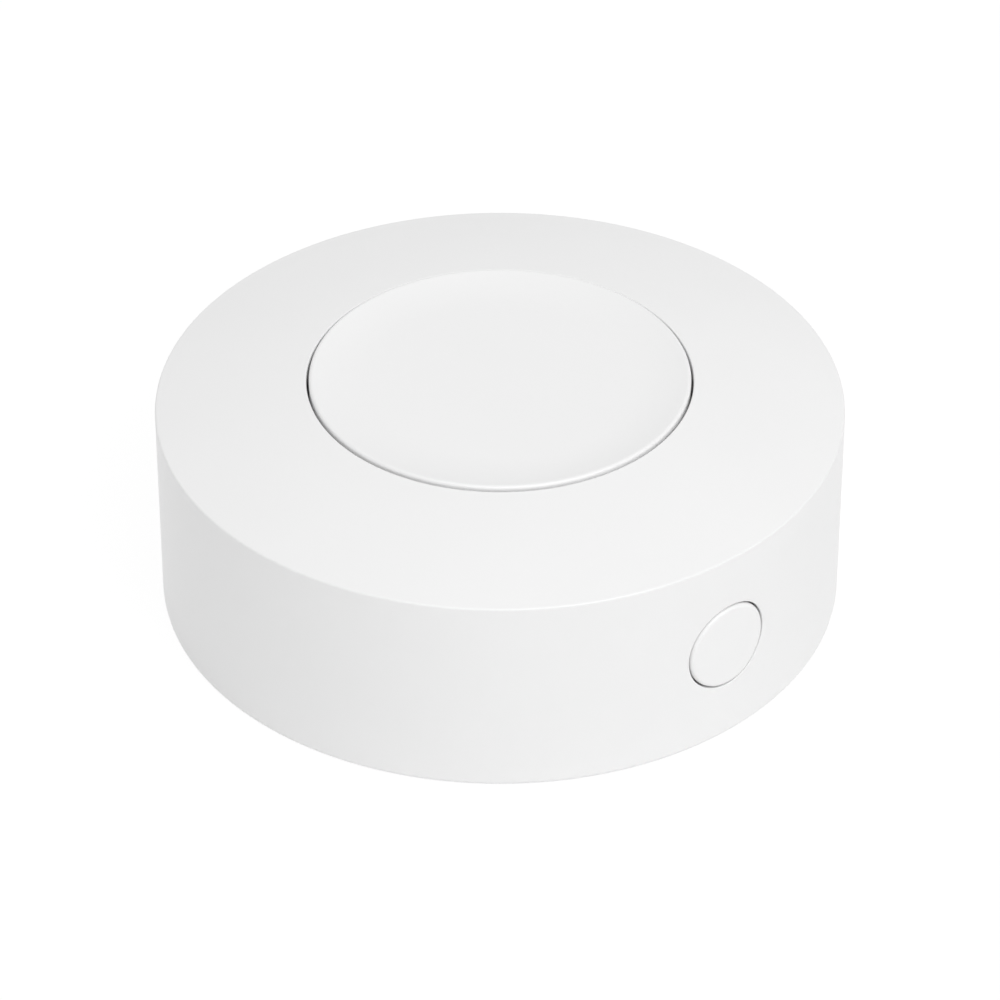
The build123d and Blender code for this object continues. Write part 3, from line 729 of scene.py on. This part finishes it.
def side_hole(rings, firsts, rows, columns, rounding):
    """Rings from the outer window's edge through the side key's hole to the inner window's edge.

    A ring's X and Z blend evenly from the window's edge to the hole's circle, and its Y follows the
    round wall, -sqrt(R^2 - x^2). The hole's edge is a quarter circle, and its inner end lies on the
    flat pad.
    """
    outer_edge, inner_edge = (window_edge(rings, first, rows, columns) for first in firsts)
    inner_edge = np.roll(inner_edge[::-1], inner_start(outer_edge, inner_edge), axis=0)
    across = outer_edge[:, [0, 2]] - [0, side_height]
    turn = np.arctan2(across[:, 1], across[:, 0])
    unit = np.column_stack([np.cos(turn), np.sin(turn)])

    def on_wall(plane, radius, depth=0.0):
        y = -np.sqrt(radius**2 - plane[:, 0] ** 2) + depth
        return np.column_stack([plane[:, 0], y, plane[:, 1] + side_height])

    def on_pad(plane):
        wall_y = np.sqrt(inner_radius**2 - plane[:, 0] ** 2)
        y = -np.minimum(side_pad_face, wall_y)
        return np.column_stack([plane[:, 0], y, plane[:, 1] + side_height])

    start = unit * (side_hole_radius + rounding)
    result = [outer_edge]
    for t in (0.2, 0.4, 0.6, 0.8, 0.93, 1.0):
        result.append(on_wall(across * (1 - t) + start * t, body_radius))
    for angle in np.linspace(0, math.pi / 2, 5)[1:]:
        ring = unit * (side_hole_radius + rounding * (1 - math.sin(angle)))
        result.append(on_wall(ring, body_radius, rounding * (1 - math.cos(angle))))
    tube = unit * side_hole_radius
    result.append(on_wall(tube, body_radius, 1.5 * rounding))
    result.append(on_pad(tube))
    result.append(on_pad(unit * side_pad_radius))
    result.append(on_wall(unit * side_pad_radius, inner_radius))
    inside = inner_edge[:, [0, 2]] - [0, side_height]
    result.append(on_wall((inside + unit * side_pad_radius) / 2, inner_radius))
    result.append(inner_edge)
    return np.stack(result)


def inner_start(outer_edge, inner_edge):
    """Roll of the reversed inner edge that brings its first point behind the outer edge's first."""
    flipped = inner_edge[::-1]
    wanted = outer_edge[0, [0, 2]] * [inner_radius / body_radius, 1]
    nearest = np.argmin(np.abs(flipped[:, [0, 2]] - wanted).sum(axis=1))
    return -int(nearest)


def housing_inside():
    """Screw bosses and their ribs, bayonet ledges and their stops, key pegs and side key guides."""
    ceiling = dome_height(boss_circle) - wall / 2
    boss_profile = outline(
        [
            (0, pilot_top, 0),
            (pilot_radius, pilot_top, 0),
            (pilot_radius, boss_bottom, 0),
            (boss_radius, boss_bottom, 0.1 * mm),
            (boss_radius, ceiling, 0),
            (0, ceiling, 0),
        ]
    )
    ledge_half, stop_start, ledge_steps = 15.0, 11.4, 14
    run = np.linspace(-ledge_half, stop_start, ledge_steps)
    degrees = np.concatenate([run, np.linspace(stop_start, ledge_half, 3)])
    tops = np.where(np.arange(len(degrees)) < ledge_steps, ledge_top, lug_top)
    sunk = inner_radius + wall / 2  # where what stands on the wall ends inside it
    ledge = arc_block(ledge_radius, sunk, ledge_bottom, degrees, tops)
    boss = turned(boss_profile, even_turn(48)) + [boss_circle, 0, 0]
    rib = rectangle(boss_circle + pilot_radius + 0.2 * mm, sunk, rib_width)
    rib = prism(rib, boss_bottom + 0.5 * mm, dome_height(inner_radius) - wall / 2)
    peg = rectangle(opening_radius + key_gap, collar_radius, peg_size)
    peg = prism(peg, collar_bottom - peg_size, collar_bottom + 1.0 * mm)
    guide_half_height, guide_width, guide_gap = 1.5 * mm, 0.7 * mm, 0.15 * mm
    guide_place = side_flange_half[0] + guide_gap + guide_width / 2
    result = []
    for angle in boss_angles:
        result += [whole(spun(shape, angle)) for shape in (boss, rib, ledge)]
    for angle in peg_angles:
        result.append(whole(spun(peg, angle)))
    for place in (-guide_place, guide_place):
        guide = rectangle(side_pad_face - 1.0 * mm, sunk, guide_width) + [0, place]
        guide = prism(guide, side_height - guide_half_height, side_height + guide_half_height)
        result.append(whole(spun(guide, 270)))
    return result


class SMARTBUTTON_OT_main_key(bpy.types.Operator):
    """Makes the large dished key with its rounded rim, skirt and notched flange"""

    bl_idname = "smartbutton.main_key"
    bl_label = "Main key"

    def execute(self, context):
        settings = context.scene.smartbutton_keys
        rings = turned(key_profile(settings.rim_round), even_turn())
        notch_half, notch_radius = 3, key_radius + 0.15 * mm
        radius = np.hypot(rings[..., 0], rings[..., 1])
        flange = (rings[..., 2] < key_flange_top + hair) & (radius > notch_radius)
        cut = (degrees_from(peg_angles) <= notch_half) & flange
        rings[..., :2] *= np.where(cut, notch_radius / np.maximum(radius, mm), 1.0)[..., None]
        rib = rectangle(key_boss_radius / 2, key_skirt_radius + 0.3 * mm, rib_width)
        rib = prism(rib, key_underside - 0.5 * mm, key_underside + 0.4 * mm)
        ribs = [whole(spun(rib, turn)) for turn in range(0, 360, 60)]
        piece = piece_of("main_key", [whole(rings), *ribs])
        plastic = moulded_abs("moulded_key_abs", settings.colour, settings.roughness, 0.3 * mm)
        finish(piece, plastic, "main_button", "key_plastic", "main_button")
        return {"FINISHED"}


def key_profile(rim_round):
    """Profile of the main key from the middle of its dish out over the rim and back below.

    The dish is level out to its flat radius, then a circle that is tangent to the level face there
    and reaches the rim's corner: z = face + R - sqrt(R^2 - (r - flat)^2).
    """
    reach = key_radius - key_flat_radius
    rise = key_rim - key_face
    curve = (reach**2 + rise**2) / (2 * rise)
    level = [(r, key_face, 0) for r in np.linspace(0, key_flat_radius, 8)]
    radii = np.linspace(key_flat_radius, key_radius - 0.75 * mm, 13)[1:]
    heights = key_face + curve - np.sqrt(curve**2 - (radii - key_flat_radius) ** 2)
    dish = [(r, z, 0) for r, z in zip(radii, heights)]
    points = level + dish
    points += [
        (key_radius, key_rim, rim_round),
        (key_radius, key_flange_top, 0.05 * mm),
        (key_flange_radius, key_flange_top, 0.08 * mm),
        (key_flange_radius, key_flange_bottom, 0.08 * mm),
        (key_skirt_radius, key_flange_bottom, 0.05 * mm),
        (key_skirt_radius, key_underside, 0.2 * mm),
        (key_boss_radius, key_underside, 0.1 * mm),
        (key_boss_radius, key_boss_bottom, 0.1 * mm),
        (0, key_boss_bottom, 0),
    ]
    return outline(points)


def rounded_rectangle(angles, half_x, half_y, corner):
    """Reach of a rounded rectangle from its middle at each angle.

    It is the nearer of the two sides' crossings, or that of the corner's circle where the side's
    crossing falls beyond the straight part.
    """
    c, s = np.abs(np.cos(angles)), np.abs(np.sin(angles))
    reach = np.minimum(half_x / np.maximum(c, 1e-9), half_y / np.maximum(s, 1e-9))
    in_corner = (reach * c > half_x - corner) & (reach * s > half_y - corner)
    x, y = half_x - corner, half_y - corner
    along = c * x + s * y
    inside = np.maximum(along**2 - (x**2 + y**2 - corner**2), 0)
    return np.where(in_corner, along + np.sqrt(inside), reach)


class SMARTBUTTON_OT_side_key(bpy.types.Operator):
    """Makes the small side key, whose face follows the wall, with its flange and pin"""

    bl_idname = "smartbutton.side_key"
    bl_label = "Side key"

    def execute(self, context):
        settings = context.scene.smartbutton_keys
        piece = piece_of("side_key", [whole(side_key_rings(settings.side_round))])
        plastic = bpy.data.materials["moulded_key_abs"]
        finish(piece, plastic, "side_button", "key_plastic", "side_button")
        return {"FINISHED"}


def side_key_rings(rounding):
    """Rings of the side key round its axis, from the middle of its face back to its pin.

    The face stands a little proud of the wall and is as round: its distance from the Z axis is
    sqrt(R^2 - x^2). The edge is a quarter circle below it, and the flange is a rounded rectangle.
    """
    angles = even_turn(120)
    flange = rounded_rectangle(angles, side_flange_half[0], side_flange_half[2], side_flange_corner)

    def ring(reach, depth=None, below=0.0):
        x = reach * np.cos(angles)
        if depth is None:
            away = np.sqrt(side_key_face**2 - x**2) - below
        else:
            away = np.full(len(angles), depth)
        return np.column_stack([x, -away, side_height + reach * np.sin(angles)])

    result = [ring(r) for r in np.linspace(0, side_key_radius - 1.4 * rounding, 8)]
    for angle in np.linspace(0, math.pi / 2, 6):
        reach = side_key_radius - rounding * (1 - math.sin(angle))
        result.append(ring(reach, below=rounding * (1 - math.cos(angle))))
    result.append(ring(side_key_radius, below=1.4 * rounding))
    ease = 0.1 * mm
    behind = [
        (side_key_radius, side_flange_face),
        (flange - 1.5 * ease, side_flange_face),
        (flange - ease, side_flange_face),
        (flange, side_flange_face - ease),
        (flange, side_flange_back + ease),
        (flange - ease, side_flange_back),
        (flange - 1.5 * ease, side_flange_back),
        (side_pin_radius, side_flange_back),
        (side_pin_radius, side_pin_end + ease),
        (side_pin_radius - ease, side_pin_end),
        (side_pin_radius - 1.5 * ease, side_pin_end),
        (0.0, side_pin_end),
    ]
    return np.stack(result + [ring(reach, depth) for reach, depth in behind])


class SMARTBUTTON_OT_base_cover(bpy.types.Operator):
    """Makes the twist-off base cover with its coin slot, bayonet ring, lugs and ribs"""

    bl_idname = "smartbutton.base_cover"
    bl_label = "Base cover"

    def execute(self, context):
        settings = context.scene.smartbutton_cover
        shell = context.scene.smartbutton_shell
        surfaces = [whole(cover_rings(settings))]
        rib = rectangle(cover_rib_start, cover_ring_bore + 0.3 * mm, rib_width)
        rib = prism(rib, cover_top - 0.3 * mm, cover_top + 0.9 * mm)
        surfaces += [whole(spun(rib, turn)) for turn in range(0, 360, 60)]
        piece = piece_of("base_cover_disc", surfaces)
        plastic = moulded_abs("moulded_base_abs", shell.colour, shell.roughness + 0.06, 0.4 * mm)
        finish(piece, plastic, "base_cover", "cover_plastic", "base_cover")
        return {"FINISHED"}


def stadium(half_length, radius):
    """Outline of a slot with round ends, in as many even steps as a turn has.

    Going once round, the first and last quarter are the +X end's half circle, and the straight runs
    and the -X end lie between.
    """
    straight = half_length - slot_half_width
    quarter = math.pi / 2 * max(radius, 0.3 * mm)
    stations = np.array([0, 1, 1, 3, 3, 4]) * quarter + np.array([0, 0, 2, 2, 4, 4]) * straight
    at = np.arange(turn_steps) / turn_steps * stations[-1]
    angle = np.interp(at, stations, np.array([0, 1, 1, 3, 3, 4]) * math.pi / 2)
    middle = np.interp(at, stations, np.array([1, 1, -1, -1, 1, 1]) * straight)
    return np.column_stack([middle + radius * np.cos(angle), radius * np.sin(angle)])


def cover_rings(settings):
    """Rings of the base cover from the coin slot's floor out over its face and edge to its inside.

    The slot's rings are stadiums. Between the slot and the outer edge a ring is the even blend of
    the slot's outline and a circle. A lug is a stretch of the ring's outer wall that stands out.
    """
    circle = np.column_stack([np.cos(even_turn()), np.sin(even_turn())])
    on_lug = degrees_from(boss_angles) <= lug_half
    lug_reach = np.where(on_lug, cover_radius, cover_ring_radius)[:, None]

    def level(plane, height):
        return np.column_stack([plane, np.full(turn_steps, height)])

    r = settings.slot_round
    result = [level(stadium(slot_half_length, 0.0), slot_floor)]
    result.append(level(stadium(slot_half_length, slot_half_width - 0.1 * mm), slot_floor))
    result.append(level(stadium(slot_half_length, slot_half_width), slot_floor - 0.1 * mm))
    for angle in np.linspace(math.pi / 2, 0, 5):
        edge = stadium(slot_half_length, slot_half_width + r * (1 - math.sin(angle)))
        result.append(level(edge, cover_face + r * (1 - math.cos(angle))))
    slot_edge = stadium(slot_half_length, slot_half_width + 1.4 * r)
    for t in np.linspace(0, 1, 9):
        blend = slot_edge * (1 - t) + circle * (cover_radius - 1.5 * settings.edge_round) * t
        result.append(level(blend, cover_face))
    rest = outline(
        [
            (cover_radius - 1.4 * settings.edge_round, cover_face, 0),
            (cover_radius, cover_face, settings.edge_round),
            (cover_radius, cover_top, 0.1 * mm),
            (cover_ring_radius, cover_top, 0.1 * mm),
            (cover_ring_radius, lug_bottom - hair, 0),
        ]
    )
    for radius, height in rest:
        result.append(level(circle * radius, height))
    for height in (lug_bottom, lug_top):
        result.append(level(circle * lug_reach, height))
    top = outline(
        [
            (cover_ring_radius - 0.05 * mm, lug_top, 0),
            (cover_ring_bore, lug_top, 0.1 * mm),
            (cover_ring_bore, cover_top, 0.15 * mm),
            (cover_seat_radius, cover_top, 0.05 * mm),
            (cover_seat_radius, cover_seat_top, 0.05 * mm),
            (0, cover_seat_top, 0),
        ]
    )
    for radius, height in top:
        result.append(level(circle * radius, height))
    return np.stack(result)


class SMARTBUTTON_OT_electronics(bpy.types.Operator):
    """Gives the circuit board, its switches and its small parts their materials"""

    bl_idname = "smartbutton.electronics"
    bl_label = "Electronics"

    def execute(self, context):
        laminate = solder_mask("green_solder_mask", "0F4A2B", "1E6B3C")
        dress(laminate, "circuit_board", "radio_module_board")
        case = glass_filled_nylon("glass_filled_black_nylon", "141414", 0.48)
        dress(case, "main_switch_body", "main_switch_stem", "side_switch_body", "side_switch_stem")
        dress(case, "voltage_regulator")
        plate = metal("stamped_stainless_steel", "C9C8C4", 0.32, 0.25 * mm, 6.0)
        dress(plate, "main_switch_cover", "side_switch_cover", "radio_shield", "crystal")
        spring = metal("spring_stainless_steel", "BDBCB8", 0.24, 0.2 * mm, 3.0)
        dress(spring, "main_switch_dome", "side_switch_dome")
        tin = metal("tinned_copper_terminal", "CFCFCB", 0.38, 0.15 * mm, 2.0)
        dress(tin, "main_switch_terminals", "side_switch_terminals")
        dress(fired_ceramic("antenna_ceramic", "D9CDB4", 0.6), "radio_antenna")
        dress(fired_ceramic("capacitor_ceramic", "A88B66", 0.5), "chip_capacitors")
        dress(fired_ceramic("glazed_resistor_ceramic", "2A2B30", 0.35), "chip_resistors")
        dress(clear_resin("cast_diode_resin", "EFE7BC"), "status_led")
        return {"FINISHED"}


class SMARTBUTTON_OT_power(bpy.types.Operator):
    """Gives the coin cell, its holder, its contacts and the screws their materials"""

    bl_idname = "smartbutton.power"
    bl_label = "Cell and contacts"

    def execute(self, context):
        nickel = metal("nickel_plated_drawn_steel", "D2D0CB", 0.2, 0.5 * mm, 2.0)
        dress(nickel, "battery_can", "battery_cap")
        dress(glass_filled_nylon("moulded_black_gasket", "1C1C1C", 0.5), "battery_gasket")
        dress(glass_filled_nylon("moulded_holder_nylon", "232426", 0.45), "battery_holder")
        bronze = metal("spring_phosphor_bronze", "D3B48C", 0.3, 0.3 * mm, 5.0)
        dress(bronze, "positive_contact", "negative_contact")
        dress(metal("zinc_plated_screw_steel", "BFC3C6", 0.28, 0.2 * mm, 1.5), "board_screws")
        return {"FINISHED"}


look_height = 5.94 * mm  # of the point that the camera and the lamps face
lamp_distance = 0.9


class SMARTBUTTON_OT_stage(bpy.types.Operator):
    """Makes the floor, the lamps and the camera"""

    bl_idname = "smartbutton.stage"
    bl_label = "Stage"

    def execute(self, context):
        settings = context.scene.smartbutton_stage
        pale_floor(settings.shadow_share)
        even_surround(settings.surround)
        target = Vector((0, 0, look_height))
        back = away_from_puck(settings.azimuth, settings.elevation)
        camera = bpy.data.objects.new("camera", bpy.data.cameras.new("camera"))
        camera.data.lens = settings.lens
        camera.data.sensor_width = 36.0
        camera.data.clip_start = 0.01
        camera.location = target + back * settings.distance
        camera.rotation_euler = (-back).to_track_quat("-Z", "Y").to_euler()
        context.scene.collection.objects.link(camera)
        context.scene.camera = camera
        lamps = (
            ("main_lamp", 5, 45, 0.5, settings.main_power),
            ("upper_lamp", -30, 60, 0.7, settings.upper_power),
            ("rear_lamp", 140, 50, 0.9, settings.rear_power),
        )
        for name, azimuth, elevation, size, power in lamps:
            away = away_from_puck(math.radians(azimuth), math.radians(elevation))
            soft_lamp(name, target + away * lamp_distance, target, size, power)
        context.scene.view_settings.view_transform = "Standard"
        return {"FINISHED"}


def away_from_puck(azimuth, elevation):
    """Direction from the puck to where something stands, with azimuth 0 at -Y."""
    level = math.cos(elevation)
    return Vector((math.sin(azimuth) * level, -math.cos(azimuth) * level, math.sin(elevation)))


def soft_lamp(name, place, target, size, power):
    """Square area lamp that faces a point."""
    lamp = bpy.data.lights.new(name, "AREA")
    lamp.size = size
    lamp.energy = power
    lamp_object = bpy.data.objects.new(name, lamp)
    lamp_object.location = place
    lamp_object.rotation_euler = (target - place).to_track_quat("-Z", "Y").to_euler()
    bpy.context.scene.collection.objects.link(lamp_object)


def white_to_camera(tree):
    """1 for rays that come from the camera, by way of gloss or glass too, and 0 for the rest."""
    path = add(tree, "ShaderNodeLightPath")
    seen = path.outputs["Is Camera Ray"]
    for way in ("Is Glossy Ray", "Is Transmission Ray"):
        either = {0: seen, 1: path.outputs[way]}
        seen = add(tree, "ShaderNodeMath", {"operation": "MAXIMUM"}, either).outputs[0]
    return seen


def even_surround(strength):
    """World that lights evenly and shows white to the camera."""
    world = bpy.data.worlds.new("surround")
    world.use_nodes = True
    tree = world.node_tree
    tree.nodes.clear()
    seen = white_to_camera(tree)
    level = add(tree, "ShaderNodeMapRange", {"To Min": strength, "To Max": 1.0}, {"Value": seen})
    white = {"Color": (1, 1, 1, 1)}
    sky = add(tree, "ShaderNodeBackground", white, {"Strength": level.outputs["Result"]})
    add(tree, "ShaderNodeOutputWorld", None, {"Surface": sky.outputs["Background"]})
    bpy.context.scene.world = world


def pale_floor(shadow_share):
    """Wide round floor just below the foot, white to the camera apart from a soft shadow."""
    radii = np.array([[0.0, 0.0], [0.3, 0.0], [3.0, 0.0]]) - [0.0, 0.02 * mm]
    floor = piece_of("floor", [whole(turned(radii, even_turn(96)))])
    material = bpy.data.materials.new("matt_white_paper")
    material.use_nodes = True
    tree = material.node_tree
    tree.nodes.clear()
    paper = add(tree, "ShaderNodeBsdfDiffuse", {"Color": linear("F4F4F4")})
    glow = add(tree, "ShaderNodeEmission", {"Color": (1, 1, 1, 1), "Strength": 1.03})
    glow_share = {"operation": "MULTIPLY", 1: 1 - shadow_share}
    glow_share = add(tree, "ShaderNodeMath", glow_share, {0: white_to_camera(tree)}).outputs[0]
    shaders = {0: glow_share, 1: paper.outputs["BSDF"], 2: glow.outputs["Emission"]}
    mix = add(tree, "ShaderNodeMixShader", None, shaders)
    add(tree, "ShaderNodeOutputMaterial", None, {"Surface": mix.outputs["Shader"]})
    floor.data.materials.append(material)


class SMARTBUTTON_PT_panel(bpy.types.Panel):
    """Lists the pieces and their sizes"""

    bl_idname = "SMARTBUTTON_PT_panel"
    bl_label = "Smart button"
    bl_space_type = "VIEW_3D"
    bl_region_type = "UI"
    bl_category = "Smart button"

    def draw(self, context):
        for operator in operators:
            self.layout.operator(operator.bl_idname)
        for name in settings_groups:
            box = self.layout.box()
            group = getattr(context.scene, name)
            for key in group.bl_rna.properties.keys():
                if key not in ("rna_type", "name"):
                    box.prop(group, key)


operators = (
    SMARTBUTTON_OT_housing,
    SMARTBUTTON_OT_main_key,
    SMARTBUTTON_OT_side_key,
    SMARTBUTTON_OT_base_cover,
    SMARTBUTTON_OT_electronics,
    SMARTBUTTON_OT_power,
    SMARTBUTTON_OT_stage,
)
settings_groups = {
    "smartbutton_shell": ShellSettings,
    "smartbutton_keys": KeySettings,
    "smartbutton_cover": CoverSettings,
    "smartbutton_stage": StageSettings,
}


def register():
    for group in settings_groups.values():
        bpy.utils.register_class(group)
    for name, group in settings_groups.items():
        setattr(bpy.types.Scene, name, PointerProperty(type=group))
    for operator in operators:
        bpy.utils.register_class(operator)
    bpy.utils.register_class(SMARTBUTTON_PT_panel)


def unregister():
    bpy.utils.unregister_class(SMARTBUTTON_PT_panel)
    for operator in reversed(operators):
        bpy.utils.unregister_class(operator)
    for name, group in settings_groups.items():
        delattr(bpy.types.Scene, name)
        bpy.utils.unregister_class(group)


def main():
    register()
    bpy.ops.smartbutton.housing()
    bpy.ops.smartbutton.main_key()
    bpy.ops.smartbutton.side_key()
    bpy.ops.smartbutton.base_cover()
    bpy.ops.smartbutton.electronics()
    bpy.ops.smartbutton.power()
    bpy.ops.smartbutton.stage()


if __name__ == "__main__":
    main()
